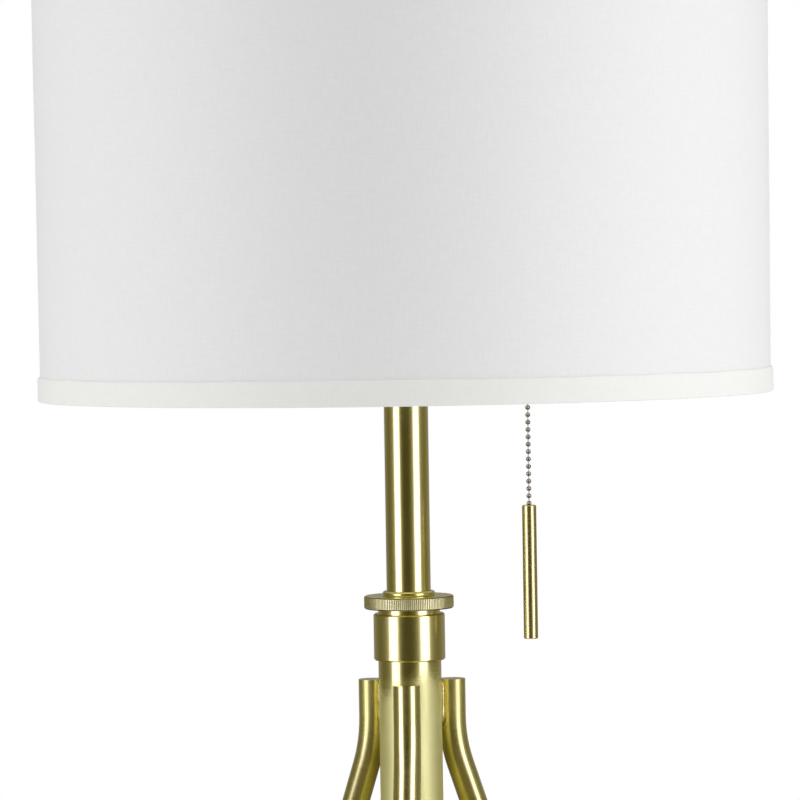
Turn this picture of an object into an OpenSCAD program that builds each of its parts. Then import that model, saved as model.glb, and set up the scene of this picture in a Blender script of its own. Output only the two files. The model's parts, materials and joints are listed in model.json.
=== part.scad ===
// Height-adjustable tripod table lamp with a drum shade and a pull chain.
// Millimetres. Z is up, the lamp's axis is the Z axis, the table top is z = 0
// and the front leg points to -Y.

/* [Stand] */
// Height of the leg tops above the table
leg_top_z = 347; // [320:1:370]
// Outer diameter of a leg tube
leg_d = 15.15; // [13:0.05:16]
// Wall thickness of a leg tube
leg_wall = 1.2; // [1:0.1:1.6]
// Distance from the lamp's axis to the upright stretch of a leg
leg_circle_r = 25.8; // [25.5:0.1:26.4]
// Length of the upright stretch that is welded to the lower tube
leg_upright = 21; // [20:1:26]
// Bend radius of a leg, to its centre line
leg_bend_r = 80; // [60:1:100]
// Splay of the lower stretch of a leg from the vertical, in degrees
leg_splay = 19.8; // [16:0.1:22]
// Thickness of the pad under a leg
foot_pad_h = 3; // [2:0.5:4]

/* [Column] */
// Outer diameter of the lower tube
tube_d = 35; // [34.2:0.1:35.2]
// Length of the lower tube, up to its seat inside the collar
tube_len = 200; // [190:1:220]
// Outer diameter of the sliding pole
pole_d = 24.6; // [24:0.1:25]
// Wall thickness of the lower tube and of the pole
tube_wall = 1.2; // [1:0.1:1.5]
// Length of lower tube that shows between the leg tops and the collar
collar_gap = 11.9; // [10:0.1:16]
// Outer diameter of the collar
collar_d = 39.7; // [38.5:0.1:41]
// Height of the collar's wide part
collar_h = 26; // [23:0.1:28]
// Outer diameter of the collar's threaded neck
neck_d = 34.4; // [33.5:0.1:35]
// Height of neck that shows between the collar and the lock ring
neck_show = 2.7; // [2:0.1:4]
// Outer diameter of the knurled lock ring
ring_d = 49.9; // [46:0.1:54]
// Height of the lock ring
ring_h = 7.1; // [6:0.1:8]
// Number of grooves in the lock ring's knurl
knurl_grooves = 144; // [120:4:200]
// Outer diameter of the collet's rounded lip
lip_d = 29.3; // [29:0.1:31]
// Height of that lip
lip_h = 3.1; // [3:0.1:4]
// Length of pole that shows below the shade as the lamp is set
pole_show = 108.5; // [20:0.1:145]

/* [Shade] */
// Outer diameter of the fabric drum at its lower edge
shade_d = 404.4; // [403:0.1:460]
// Outer diameter of the fabric drum at its upper edge
shade_top_d = 406.8; // [403:0.1:460]
// Height of the drum
shade_h = 254; // [240:1:280]
// Thickness of the stiff lining
lining_t = 0.7; // [0.5:0.1:1]
// Thickness of the linen on it
linen_t = 0.6; // [0.4:0.1:1]
// Height of the trim band that shows outside
trim_h = 13.5; // [10:0.1:16]
// Thickness of the folded trim
trim_t = 1.45; // [1:0.05:1.5]
// Wire diameter of the shade's rings and spider
wire_d = 3.2; // [2.5:0.1:4]
// Depth of the spider's hub below the top of the shade
spider_drop = 12; // [8:1:20]

/* [Light cluster] */
// Height of the sockets' axis above the shade's lower edge
cluster_rise = 102; // [96:1:115]
// Diameter of a bulb
bulb_d = 60; // [50:1:62]
// Length of a bulb with its base
bulb_len = 105; // [95:1:107]

/* [Pull chain] */
// Distance from the lamp's axis to the chain
chain_x = 67.7; // [66:0.1:70]
// Diameter of a bead
bead_d = 2.8; // [2.8:0.1:3]
// Distance from bead to bead
bead_pitch = 4.09; // [4:0.01:4.3]
// Diameter of the pull bar
pull_d = 7.9; // [7:0.1:9]
// Length of the pull bar
pull_len = 74.2; // [60:0.1:80]
// Height of the pull bar's top below the shade's lower edge
pull_drop = 61.7; // [50:0.1:65]

/* [Hidden] */
$fn = 96;
eps = 0.01;      // overrun of a cutting solid
seam = 0.5;      // overlap that fuses a bend with its straight stretches
seam_step = 0.01; // by which a straight stretch is thinner, so that the overlap is clean
cut = 1;         // overrun of a cutting solid through a free end

// Radii
leg_r = leg_d / 2;
leg_bore_r = leg_r - leg_wall;
tube_r = tube_d / 2;
tube_bore_r = tube_r - tube_wall;
pole_r = pole_d / 2;
pole_bore_r = pole_r - tube_wall;
collar_r = collar_d / 2;
neck_r = neck_d / 2;
ring_r = ring_d / 2;
lip_r = lip_d / 2;
shade_r = shade_d / 2;
shade_top_r = shade_top_d / 2;
wire_r = wire_d / 2;
bead_r = bead_d / 2;
pull_r = pull_d / 2;

// Stand
leg_azimuths = [-90, 30, 150];      // front, right, left
leg_bend_z = leg_top_z - leg_upright;
leg_knee_z = leg_bend_z - leg_bend_r * sin(leg_splay);
leg_lower_len = leg_knee_z / cos(leg_splay) + 20;
leg_cap_h = 4;
foot_stem_h = 12;
weld_h = leg_upright - 1;
weld_half_w = 4;

// Column, from the bottom up
collar_z = leg_top_z + collar_gap;
collar_top_z = collar_z + collar_h;
ring_z = collar_top_z + neck_show;
ring_top_z = ring_z + ring_h;
lip_sink = 0.4;                     // depth to which the lip sits in the ring's mouth
lip_top_z = ring_top_z + lip_h - lip_sink;
tube_seat_z = collar_top_z - 5;
tube_z = tube_seat_z - tube_len;
collar_bevel = 0.8;
ring_bevel = 0.7;
ring_flange_h = 2;
ring_gap = 0.05;                    // running clearance of the ring on the neck
knurl_depth = 0.1;
knurl_land = 0.35;                  // flat share of the knurl's pitch
collet_r = 14.15;
collet_gap = 0.06;                  // running clearance of the pole in the collet
collet_h = 27;
collet_slots = 4;
end_cap_h = 9;
end_cap_plug_h = 8;
bushing_bore_r = 3.75;
bushing_r = 5.2;
bushing_flange_r = 7;
bushing_flange_h = 2.2;

// Shade, from the bottom up
shade_z = lip_top_z + pole_show;
shade_top_z = shade_z + shade_h;
taper_play = 0.07;                  // room for the drum's taper behind a trim
wire_play = 0.02;                   // the same beside a ring's wire
wire_depth = linen_t + lining_t + wire_r + wire_play;
bottom_ring_r = shade_r - wire_depth;
top_ring_r = shade_top_r - wire_depth;
top_ring_z = shade_top_z - trim_t - wire_r;
fold_h = 7.7;                       // height of a trim's inner fold
slit_play = 0.3;                    // room for an arm in the trim's slit
hub_r = 11;
hub_t = 2;
hub_z = shade_top_z - spider_drop;
arm_azimuths = [90, 210, 330];
arm_rise = spider_drop - trim_t - wire_r - hub_t / 2;
arm_rise_run = 22;                  // length over which an arm rises to the top ring
arm_angle = atan(arm_rise / arm_rise_run);
arm_wire_r = wire_r - 0.15;
knee_r = arm_wire_r + 0.1;          // the bent wire is a little thicker at its knee

// Light cluster
cluster_z = shade_z + cluster_rise;
body_r = 19;
body_h = 34;
body_z = cluster_z - body_h / 2;
check_ring_h = 3;
pole_top_z = body_z - check_ring_h;
lid_seat_h = 4.2;                   // height of the flat on the domed lid
nipple_r = 4.85;
nipple_bore_r = 3.4;
riser_r = 3.1;
arm_r = 6.5;
arm_end_x = 42;
cap_x = 40;
cap_len = 16;
shell_x = 55;
shell_len = 49;
shell_r = 16.4;
shell_wall = 0.6;
liner_wall = 0.8;
block_len = 18;
screw_x = shell_x + block_len + 2;
screw_len = 26;
screw_r = 13.7;
bulb_x = screw_x + 3;
bulb_base_len = 25;
bulb_base_r = 12.9;

// Guide, sliding bush and pole end
guide_bush_h = 28;
guide_bush_z = 300;
stop_ring_h = 3;
pole_z = guide_bush_z - stop_ring_h - 2;

// Pull chain, from the bar's bead up to the switch
pull_top_z = shade_z - pull_drop;
end_bead_z = pull_top_z + 1;        // centre of the last bead that shows
insert_r = 2.6;                     // collar pressed into the bar's top
insert_h = 1.5;
insert_hole_r = 1;
insert_flare_r = 2.15;
pull_cavity_h = 9;
chain_beads = 33;                   // beads below the first link
link_bead_z = end_bead_z + chain_beads * bead_pitch;
lead_beads = 5;
mouth_z = link_bead_z + bead_r + 0.2;
link_wire_r = 0.25;
link_head_r = bead_r - 0.5;
link_cavity_r = bead_r - 0.28;
link_hole_r = bead_r - 0.6;
guide_bore_r = 2.2;

brass = [0.69, 0.64, 0.33];
steel = [0.72, 0.72, 0.70];
linen = [0.93, 0.93, 0.92];
white_plastic = [0.90, 0.90, 0.88];
dark_rubber = [0.12, 0.12, 0.12];

// ---------- helpers ----------

// A plain tube standing on z = 0.
module pipe(r, bore_r, h) {
    difference() {
        cylinder(r = r, h = h);
        translate([0, 0, -cut]) cylinder(r = bore_r, h = h + 2 * cut);
    }
}

// Turns what stands on z = 0 so that it points along +X from [x, 0, cluster_z];
// side -1 gives its mirror image on the left.
module on_arm(side, x) {
    scale_x = side < 0 ? [1, 0, 0] : [0, 0, 0];
    mirror(scale_x) translate([x, 0, cluster_z]) rotate([0, 90, 0]) children();
}

// A ring of round wire.
module wire_ring(ring_radius, z) {
    translate([0, 0, z]) rotate_extrude() translate([ring_radius, 0]) circle(r = wire_r);
}

// ---------- stand ----------

// A disc, or with a bore a ring.
module disc(r, bore_r) {
    difference() {
        circle(r = r);
        if (bore_r > 0) circle(r = bore_r);
    }
}

// Moves a leg's own frame, which starts where its bend starts, to its place.
module at_leg(azimuth) {
    rotate([0, 0, azimuth]) translate([leg_circle_r, 0, leg_bend_z]) children();
}

// The lower, slanted stretch of a leg, in the leg's own frame.
module leg_slant(r, bore_r) {
    translate([leg_bend_r * (1 - cos(leg_splay)), 0, -leg_bend_r * sin(leg_splay)])
        rotate([0, 180 - leg_splay, 0]) translate([0, 0, -seam])
            linear_extrude(leg_lower_len + seam) disc(r, bore_r);
}

module leg(azimuth) {
    color(brass) at_leg(azimuth) union() {
        translate([0, 0, -seam]) linear_extrude(leg_upright + seam)
            disc(leg_r - seam_step, leg_bore_r + seam_step);
        translate([leg_bend_r, 0, 0]) rotate([90, 0, 0]) rotate([0, 0, 180])
            rotate_extrude(angle = leg_splay) translate([leg_bend_r, 0])
                disc(leg_r, leg_bore_r);
        difference() {
            leg_slant(leg_r - seam_step, leg_bore_r + seam_step);
            translate([-50, -50, foot_pad_h - leg_bend_z - 60]) cube([300, 100, 60]);
        }
    }
}

// Flat plug that closes a leg's top end, flush with the tube.
module leg_cap(azimuth) {
    color(brass) at_leg(azimuth) translate([0, 0, leg_upright - leg_cap_h])
        cylinder(r = leg_bore_r, h = leg_cap_h);
}

// Rubber pad with a stem that plugs the leg's lower end; both lean with the leg.
module foot(azimuth) {
    color(dark_rubber) at_leg(azimuth) union() {
        intersection() {
            leg_slant(leg_r + 0.4, 0);
            translate([-50, -50, -leg_bend_z]) cube([300, 100, foot_pad_h]);
        }
        intersection() {
            leg_slant(leg_bore_r, 0);
            translate([-50, -50, foot_pad_h - eps - leg_bend_z])
                cube([300, 100, foot_stem_h]);
        }
    }
}

// Weld bead that fills the slit between the lower tube and each leg.
module leg_welds() {
    $fn = 240;                      // finer, as the bead is thin
    fillet_r = 2;
    color(brass) for (azimuth = leg_azimuths) rotate([0, 0, azimuth])
        translate([0, 0, leg_bend_z]) linear_extrude(weld_h) difference() {
            translate([tube_r - 1, -weld_half_w])
                square([leg_circle_r - tube_r, 2 * weld_half_w]);
            circle(r = tube_r);
            translate([leg_circle_r, 0]) circle(r = leg_r);
            for (side = [-1, 1])
                translate([tube_r + 1, side * (weld_half_w + 1)]) circle(r = fillet_r);
        }
}

// ---------- column ----------

module lower_tube() {
    color(brass) translate([0, 0, tube_z]) pipe(tube_r, tube_bore_r, tube_len);
}

// Turned plug with a rounded rim that closes the lower tube.
module tube_end_cap() {
    rim_r = 3;
    color(brass) translate([0, 0, tube_z]) rotate_extrude() union() {
        translate([bushing_r, -end_cap_h]) square([tube_r - rim_r - bushing_r, end_cap_h]);
        translate([bushing_r, -end_cap_h + rim_r])
            square([tube_r - bushing_r, end_cap_h - rim_r]);
        translate([tube_r - rim_r, -end_cap_h + rim_r]) circle(r = rim_r);
        translate([bushing_r, -eps]) square([tube_bore_r - bushing_r, end_cap_plug_h]);
    }
}

// Flanged bushing that the supply cord would pass through.
module cord_bushing() {
    total_h = bushing_flange_h + end_cap_h + end_cap_plug_h;
    color(dark_rubber) translate([0, 0, tube_z - end_cap_h - bushing_flange_h])
        difference() {
            union() {
                cylinder(r = bushing_flange_r, h = bushing_flange_h);
                cylinder(r = bushing_r, h = total_h);
            }
            translate([0, 0, -cut]) cylinder(r = bushing_bore_r, h = total_h + 2 * cut);
        }
}

// Sleeve over the tube's top end, with the neck that the lock ring turns on.
module collar() {
    neck_top = ring_top_z - ring_flange_h - 0.3 - collar_z;
    seat = tube_seat_z - collar_z;
    color(brass) translate([0, 0, collar_z]) rotate_extrude() difference() {
        union() {
            polygon([[collet_r, 0], [collar_r - collar_bevel, 0], [collar_r, collar_bevel],
                     [collar_r, collar_h - collar_bevel], [collar_r - collar_bevel, collar_h],
                     [collet_r, collar_h]]);
            translate([collet_r, 0]) square([neck_r - collet_r, neck_top]);
        }
        translate([0, -cut]) square([tube_r, seat + cut]);
    }
}

// Slotted clamping sleeve round the pole; its rounded lip shows above the lock ring.
module clamp_collet() {
    bore_r = pole_r + collet_gap;
    lip_round_r = lip_h / 2;
    slot_w = 1;
    solid_h = 6;                    // unslotted length under the lip
    color(brass) translate([0, 0, lip_top_z]) difference() {
        rotate_extrude() difference() {
            union() {
                translate([bore_r, -lip_h - collet_h])
                    square([collet_r - bore_r, collet_h + lip_round_r]);
                translate([lip_r - lip_round_r, -lip_round_r]) circle(r = lip_round_r);
            }
            translate([0, -lip_h - cut]) square([bore_r, lip_h + 2 * cut]);
        }
        for (turn = [0 : collet_slots - 1]) rotate([0, 0, turn * 360 / collet_slots + 45])
            translate([0, -slot_w / 2, -lip_h - collet_h - cut])
                cube([collet_r + cut, slot_w, collet_h - solid_h + cut]);
    }
}

// Knurled ring that closes the collet on the pole when it is screwed down.
module lock_ring() {
    thread_r = neck_r + ring_gap;
    step = 360 / knurl_grooves;
    half_land = knurl_land / 2;
    knurl = [for (i = [0 : knurl_grooves - 1], turn = [-half_land, half_land, 0.5])
        let (r = turn == 0.5 ? ring_r - knurl_depth : ring_r, a = (i + turn) * step)
        [r * cos(a), r * sin(a)]];
    color(brass) translate([0, 0, ring_z]) difference() {
        intersection() {
            linear_extrude(ring_h) polygon(knurl);
            rotate_extrude() polygon([[0, 0], [ring_r - ring_bevel, 0],
                [ring_r + eps, ring_bevel], [ring_r + eps, ring_h - ring_bevel],
                [ring_r - ring_bevel, ring_h], [0, ring_h]]);
        }
        translate([0, 0, -cut]) cylinder(r = thread_r, h = ring_h - ring_flange_h + cut);
        cylinder(r = collet_r + 0.15, h = ring_h + cut);
    }
}

// Nylon sleeve on the pole's lower end that slides in the lower tube.
module guide_bush() {
    color(white_plastic) translate([0, 0, guide_bush_z]) difference() {
        cylinder(r = tube_bore_r - 0.08, h = guide_bush_h);
        translate([0, 0, -cut]) cylinder(r = pole_r + 0.05, h = guide_bush_h + 2 * cut);
        translate([0, 0, guide_bush_h / 2]) rotate_extrude()
            translate([tube_bore_r, 0]) square([2, guide_bush_h - 10], center = true);
    }
}

module pole() {
    color(brass) translate([0, 0, pole_z]) pipe(pole_r, pole_bore_r, pole_top_z - pole_z);
}

// Snap ring round the pole's end that keeps the bush on it.
module pole_stop_ring() {
    color(steel) translate([0, 0, pole_z + 1]) pipe(pole_r + 2.2, pole_r, stop_ring_h);
}

// ---------- light cluster ----------

module pole_top_plug() {
    color(steel) translate([0, 0, pole_top_z - 10]) pipe(pole_bore_r, nipple_r, 10);
}

// Hollow threaded tube that clamps the cluster to the pole.
module lamp_nipple() {
    color(steel) translate([0, 0, pole_top_z - 14])
        pipe(nipple_r, nipple_bore_r, 14 + check_ring_h + 9);
}

// Turned ring between the pole and the cluster body.
module check_ring() {
    color(brass) translate([0, 0, pole_top_z]) rotate_extrude() union() {
        translate([nipple_r, 0]) square([15 - nipple_r, check_ring_h]);
        translate([15, check_ring_h / 2]) circle(r = check_ring_h / 2);
    }
}

// Turned hollow drum with a bored boss on each side.
module cluster_body() {
    wall = 2;
    color(brass) difference() {
        union() {
            translate([0, 0, body_z]) rotate_extrude() polygon([[0, 0], [15, 0], [body_r, 5],
                [body_r, body_h - 4], [body_r - 1.5, body_h - 2], [0, body_h - 2]]);
            for (side = [-1, 1]) on_arm(side, 10) cylinder(r = arm_r + 2.5, h = 12);
        }
        translate([0, 0, body_z + 3]) cylinder(r = body_r - wall - 2, h = body_h);
        translate([0, 0, body_z - cut]) cylinder(r = nipple_r, h = 6);
        for (side = [-1, 1]) on_arm(side, 8) cylinder(r = arm_r, h = 20);
    }
}

// Domed lid with a spigot that fits the drum.
module cluster_lid() {
    dome_r = 24;
    dome_h = 5;
    color(brass) translate([0, 0, body_z + body_h - 2]) rotate_extrude() difference() {
        union() {
            translate([0, -3]) square([body_r - 4, 3]);
            square([body_r - 1.5, 1.5]);
            intersection() {
                translate([0, dome_h - dome_r]) circle(r = dome_r);
                square([body_r - 3, lid_seat_h]);
            }
        }
        translate([-1, -5]) square([riser_r + 1, 20]);
    }
}

module cluster_arm(side) {
    color(brass) on_arm(side, 16) pipe(arm_r, nipple_bore_r, arm_end_x - 16);
}

// Spun cup that holds the shell; its hub is screwed on the arm.
module socket_cap(side) {
    color(brass) on_arm(side, cap_x) rotate_extrude() difference() {
        union() {
            translate([arm_r, 0]) square([2.2, 8]);
            polygon([[arm_r, 4], [arm_r + 3, 3], [13.5, 5.5], [shell_r + 1.3, 11],
                     [shell_r + 1.3, cap_len + 2], [shell_r + 0.4, cap_len + 2],
                     [shell_r + 0.4, 11.5], [13, 6.8], [arm_r, 5.2]]);
        }
        square([arm_r, 20]);
    }
}

// Spun tube with a raised bead and a rolled mouth.
module socket_shell(side) {
    bead_x = 6;
    color(brass) difference() {
        on_arm(side, shell_x) rotate_extrude() union() {
            translate([shell_r - shell_wall, 0]) square([shell_wall, shell_len]);
            for (x = [bead_x, shell_len - 22])
                translate([shell_r - 0.1, x]) intersection() {
                    circle(r = 0.9);
                    translate([-0.4, -1]) square([2, 2]);
                }
            translate([shell_r, shell_len - 0.9]) circle(r = 0.9);
        }
        if (side > 0) translate([chain_x, 0, cluster_z - shell_r - 2])
            cylinder(r = 3.4, h = 6);
    }
}

// Insulating sleeve inside the shell.
module socket_liner(side) {
    liner_r = shell_r - shell_wall;
    color([0.55, 0.45, 0.33]) difference() {
        on_arm(side, shell_x + 1) pipe(liner_r, liner_r - liner_wall, shell_len - 3);
        if (side > 0) translate([chain_x, 0, cluster_z - shell_r - 2])
            cylinder(r = 3.4, h = 6);
    }
}

// Moulded block with the two terminals' screws; carries the screw shell.
module base_block(side) {
    block_r = shell_r - shell_wall - liner_wall;
    on_arm(side, shell_x + 2) difference() {
        cylinder(r = block_r, h = block_len);
        for (y = [-1, 1]) translate([0, y * block_r, 9]) rotate([90, 0, 0])
            cylinder(r = 3.5, h = 5, center = true);
    }
}

// Pull-chain switch in the right-hand socket; a well takes the moving lead.
module switch_block() {
    color(dark_rubber) difference() {
        base_block(1);
        translate([chain_x, 0, cluster_z - shell_r])
            cylinder(r = guide_bore_r + 0.1, h = shell_r + 9);
        translate([chain_x, 0, cluster_z - shell_r]) cylinder(r = 3.4, h = 5);
    }
}

module terminal_block() {
    color(dark_rubber) base_block(-1);
}

// Shell that the bulb's base is screwed into.
module screw_shell(side) {
    color(steel) on_arm(side, screw_x) union() {
        pipe(screw_r, screw_r - 0.5, screw_len);
        pipe(screw_r, 6, 0.6);
    }
}

// Springy tongue that meets the bulb's tip.
module centre_contact(side) {
    color(brass) on_arm(side, screw_x) union() {
        cylinder(r = 2, h = 2.2);
        translate([-2, -2, 1.6]) cube([4, 4, 0.9]);
    }
}

// Bell-mouthed tube that leads the chain out of the right-hand socket.
module chain_guide() {
    top_z = cluster_z - shell_r + 4.5;
    tube_h = top_z - mouth_z;
    color(brass) translate([chain_x, 0, mouth_z]) rotate_extrude() difference() {
        union() {
            translate([guide_bore_r, 0]) square([1, tube_h]);
            translate([guide_bore_r, tube_h - 6]) square([2.6, 1.5]);
            translate([guide_bore_r + 1, 1]) circle(r = 1);
        }
        translate([0, -1]) square([guide_bore_r, tube_h + 2]);
    }
}

module bulb_base(side) {
    color(steel) on_arm(side, bulb_x) union() {
        translate([0, 0, 3]) cylinder(r = bulb_base_r, h = bulb_base_len - 3);
        cylinder(r1 = 4.5, r2 = bulb_base_r, h = 3);
    }
}

// Pear-shaped globe: a sphere, a cone that meets it at a tangent, and a neck.
module bulb_globe(side) {
    globe_r = bulb_d / 2;
    neck_radius = 13.4;
    wall = 1;
    top = bulb_len - bulb_base_len;
    centre = top - globe_r;
    tangent = asin((globe_r - neck_radius) / centre);
    module outline(grow) {
        r = globe_r + grow;
        intersection() {
            union() {
                translate([0, centre]) circle(r = r);
                polygon([[0, 0], [neck_radius + grow, 0],
                         [r * cos(tangent), centre - r * sin(tangent)],
                         [0, centre]]);
            }
            square([2 * globe_r, 2 * top]);
        }
    }
    color(white_plastic) on_arm(side, bulb_x + bulb_base_len) rotate_extrude()
        difference() {
            outline(0);
            outline(-wall);
        }
}

// Rod from the cluster's lid up to the finial.
module riser_rod() {
    foot_z = body_z + body_h - 8;
    color(steel) translate([0, 0, foot_z]) cylinder(r = riser_r, h = hub_z + hub_t + 6 - foot_z);
}

// Two hex nuts: one clamps the lid, one carries the shade rest.
module riser_nuts() {
    lid_top = body_z + body_h - 2 + lid_seat_h;
    color(brass) for (z = [lid_top, hub_z - 8]) translate([0, 0, z]) difference() {
        cylinder(r = 6.4, h = 4, $fn = 6);
        translate([0, 0, -cut]) cylinder(r = riser_r, h = 4 + 2 * cut);
    }
}

// Stepped washer that the spider's hub sits on.
module shade_rest() {
    color(brass) translate([0, 0, hub_z - 4]) rotate_extrude() difference() {
        union() {
            square([7.5, 4]);
            translate([0, 2]) square([hub_r - 0.5, 1.8]);
        }
        translate([-1, -1]) square([riser_r + 1, 8]);
    }
}

// ---------- shade ----------

// A layer of the drum's wall, whose outer face lies at a depth below the linen's.
module drum(depth, thickness) {
    h = shade_h - 2 * trim_t;
    r1 = shade_r - depth;
    r2 = shade_top_r - depth;
    translate([0, 0, shade_z + trim_t]) rotate_extrude()
        polygon([[r1 - thickness, 0], [r1, 0], [r2, h], [r2 - thickness, h]]);
}

module shade_linen() {
    color(linen) drum(0, linen_t);
}

module shade_lining() {
    color(white_plastic) drum(linen_t, lining_t);
}

// Folded tape round an edge of the drum and the wire inside it; z grows inwards.
module trim_profile(edge_r) {
    face_r = edge_r + taper_play;
    inner_r = edge_r - wire_depth - wire_r - wire_play - trim_t;
    round_r = trim_t / 2;
    difference() {
        union() {
            translate([inner_r, round_r]) square([face_r + trim_t - inner_r, fold_h - round_r]);
            translate([inner_r + round_r, 0]) square([face_r - inner_r, trim_t]);
            translate([inner_r + round_r, round_r]) circle(r = round_r);
            translate([face_r + round_r, round_r]) circle(r = round_r);
            translate([face_r, round_r]) square([trim_t, trim_h - trim_t]);
            translate([face_r + round_r, trim_h - round_r]) circle(r = round_r);
        }
        translate([inner_r + trim_t, trim_t])
            square([face_r - inner_r - trim_t, trim_h + cut]);
    }
}

module bottom_trim() {
    color(linen) translate([0, 0, shade_z]) rotate_extrude() trim_profile(shade_r);
}

// The upper tape is slit from its free edge where an arm of the spider passes.
module top_trim() {
    slit_w = 2 * (arm_wire_r + slit_play);
    slit_top = trim_t + 0.2;
    color(linen) translate([0, 0, shade_top_z]) mirror([0, 0, 1]) difference() {
        rotate_extrude() trim_profile(shade_top_r);
        for (azimuth = arm_azimuths) rotate([0, 0, azimuth])
            translate([top_ring_r - 10, -slit_w / 2, slit_top])
                cube([10, slit_w, fold_h]);
    }
}

module bottom_ring() {
    color(steel) wire_ring(bottom_ring_r, shade_z + trim_t + wire_r);
}

module top_ring() {
    color(steel) wire_ring(top_ring_r, top_ring_z);
}

// Stamped washer in the middle of the spider.
module spider_hub() {
    color(steel) translate([0, 0, hub_z]) pipe(hub_r, riser_r + 0.3, hub_t);
}

// Three wires from the hub to the top ring, each with a knee near its outer end.
module spider_arms() {
    arm_z = hub_z + hub_t / 2;
    knee_x = top_ring_r - arm_rise_run;
    color(steel) difference() {
        for (azimuth = arm_azimuths) rotate([0, 0, azimuth]) union() {
            translate([hub_r, 0, arm_z]) rotate([0, 90, 0])
                cylinder(r = arm_wire_r, h = knee_x - hub_r);
            translate([knee_x, 0, arm_z]) sphere(r = knee_r);
            translate([knee_x, 0, arm_z]) rotate([0, 90 - arm_angle, 0])
                cylinder(r = arm_wire_r, h = arm_rise_run / cos(arm_angle));
        }
        wire_ring(top_ring_r, top_ring_z);
    }
}

// Turned knob that is screwed on the riser and holds the shade down.
module finial() {
    ball_r = 7;
    ball_z = 14;
    color(brass) translate([0, 0, hub_z + hub_t + 0.2]) rotate_extrude() difference() {
        union() {
            square([8, 2]);
            translate([8, 1]) circle(r = 1);
            square([4.6, ball_z]);
            intersection() {
                translate([0, ball_z]) circle(r = ball_r);
                square([20, 40]);
            }
            translate([0, ball_z + ball_r - 1]) square([2, 3]);
        }
        translate([-1, -1]) square([riser_r + 0.05 + 1, 8]);
    }
}

// ---------- pull chain ----------

// Beads on a wire from bead number low up to bead number high.
module bead_string(low, high) {
    translate([chain_x, 0, end_bead_z]) union() {
        for (i = [low : high]) translate([0, 0, i * bead_pitch]) sphere(r = bead_r, $fn = 32);
        if (high > low) translate([0, 0, low * bead_pitch])
            cylinder(r = link_wire_r + 0.1, h = (high - low) * bead_pitch, $fn = 16);
    }
}

// Cavity and top hole that turn a bead into the socket of the link above.
module link_socket(i) {
    translate([chain_x, 0, end_bead_z + i * bead_pitch]) {
        sphere(r = link_cavity_r, $fn = 32);
        cylinder(r = link_hole_r, h = bead_r + 0.3, $fn = 32);
    }
}

// Wire and round head that hang a link from the bead above it.
module link_stud(i) {
    translate([chain_x, 0, end_bead_z + i * bead_pitch]) {
        sphere(r = link_head_r, $fn = 32);
        cylinder(r = link_wire_r, h = bead_pitch - bead_r + 0.2, $fn = 16);
    }
}

// Part of the chain that runs in the guide and works the switch.
module chain_lead() {
    first = chain_beads + 1;
    color(steel) union() {
        bead_string(first, first + lead_beads - 1);
        link_stud(chain_beads);
    }
}

// First bead below the guide's mouth.
module chain_top_link() {
    color(steel) union() {
        difference() {
            bead_string(chain_beads, chain_beads);
            link_socket(chain_beads);
        }
        link_stud(chain_beads - 1);
    }
}

// The hanging chain; its lowest bead is caught inside the bar, under the insert.
module pull_chain() {
    color(steel) difference() {
        bead_string(-1, chain_beads - 1);
        link_socket(chain_beads - 1);
    }
}

// Flared collar in the bar's top that the lowest bead can't pass.
module pull_insert() {
    color(steel) translate([chain_x, 0, pull_top_z - insert_h - 0.15])
        rotate_extrude($fn = 48) polygon([[insert_hole_r, 0], [insert_r, 0],
            [insert_r, insert_h], [insert_flare_r, insert_h],
            [insert_hole_r, 0.3]]);
}

// Turned bar with bevelled ends and a bore for the insert and the lowest bead.
module pull_bar() {
    bevel = 0.4;
    color(brass) translate([chain_x, 0, pull_top_z - pull_len]) rotate_extrude() polygon([
        [0, 0], [pull_r - bevel, 0], [pull_r, bevel], [pull_r, pull_len - bevel],
        [pull_r - bevel, pull_len], [insert_r, pull_len],
        [insert_r, pull_len - pull_cavity_h], [0, pull_len - pull_cavity_h]]);
}

leg(leg_azimuths[0]);  // leg_front
leg(leg_azimuths[1]);  // leg_right
leg(leg_azimuths[2]);  // leg_left
leg_cap(leg_azimuths[0]);  // leg_cap_front
leg_cap(leg_azimuths[1]);  // leg_cap_right
leg_cap(leg_azimuths[2]);  // leg_cap_left
foot(leg_azimuths[0]);  // foot_front
foot(leg_azimuths[1]);  // foot_right
foot(leg_azimuths[2]);  // foot_left
leg_welds();
lower_tube();
tube_end_cap();
cord_bushing();
collar();
clamp_collet();
lock_ring();
guide_bush();
pole();
pole_stop_ring();
pole_top_plug();
lamp_nipple();
check_ring();
cluster_body();
cluster_lid();
cluster_arm(1);  // cluster_arm_right
cluster_arm(-1);  // cluster_arm_left
socket_cap(1);  // socket_cap_right
socket_cap(-1);  // socket_cap_left
socket_shell(1);  // socket_shell_right
socket_shell(-1);  // socket_shell_left
socket_liner(1);  // socket_liner_right
socket_liner(-1);  // socket_liner_left
switch_block();
terminal_block();
screw_shell(1);  // screw_shell_right
screw_shell(-1);  // screw_shell_left
centre_contact(1);  // centre_contact_right
centre_contact(-1);  // centre_contact_left
chain_guide();
bulb_base(1);  // bulb_base_right
bulb_base(-1);  // bulb_base_left
bulb_globe(1);  // bulb_globe_right
bulb_globe(-1);  // bulb_globe_left
riser_rod();
riser_nuts();
shade_rest();
shade_linen();
shade_lining();
top_trim();
bottom_trim();
top_ring();
bottom_ring();
spider_hub();
spider_arms();
finial();
chain_lead();
chain_top_link();
pull_chain();
pull_insert();
pull_bar();
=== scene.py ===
"""Looks for the adjustable tripod table lamp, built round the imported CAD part.

Metres, in the CAD's frame: the lamp's axis is Z, the table top is z = 0, the front leg is at -Y.
"""

import json
import math

import bpy
from mathutils import Matrix, Vector, noise


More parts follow.
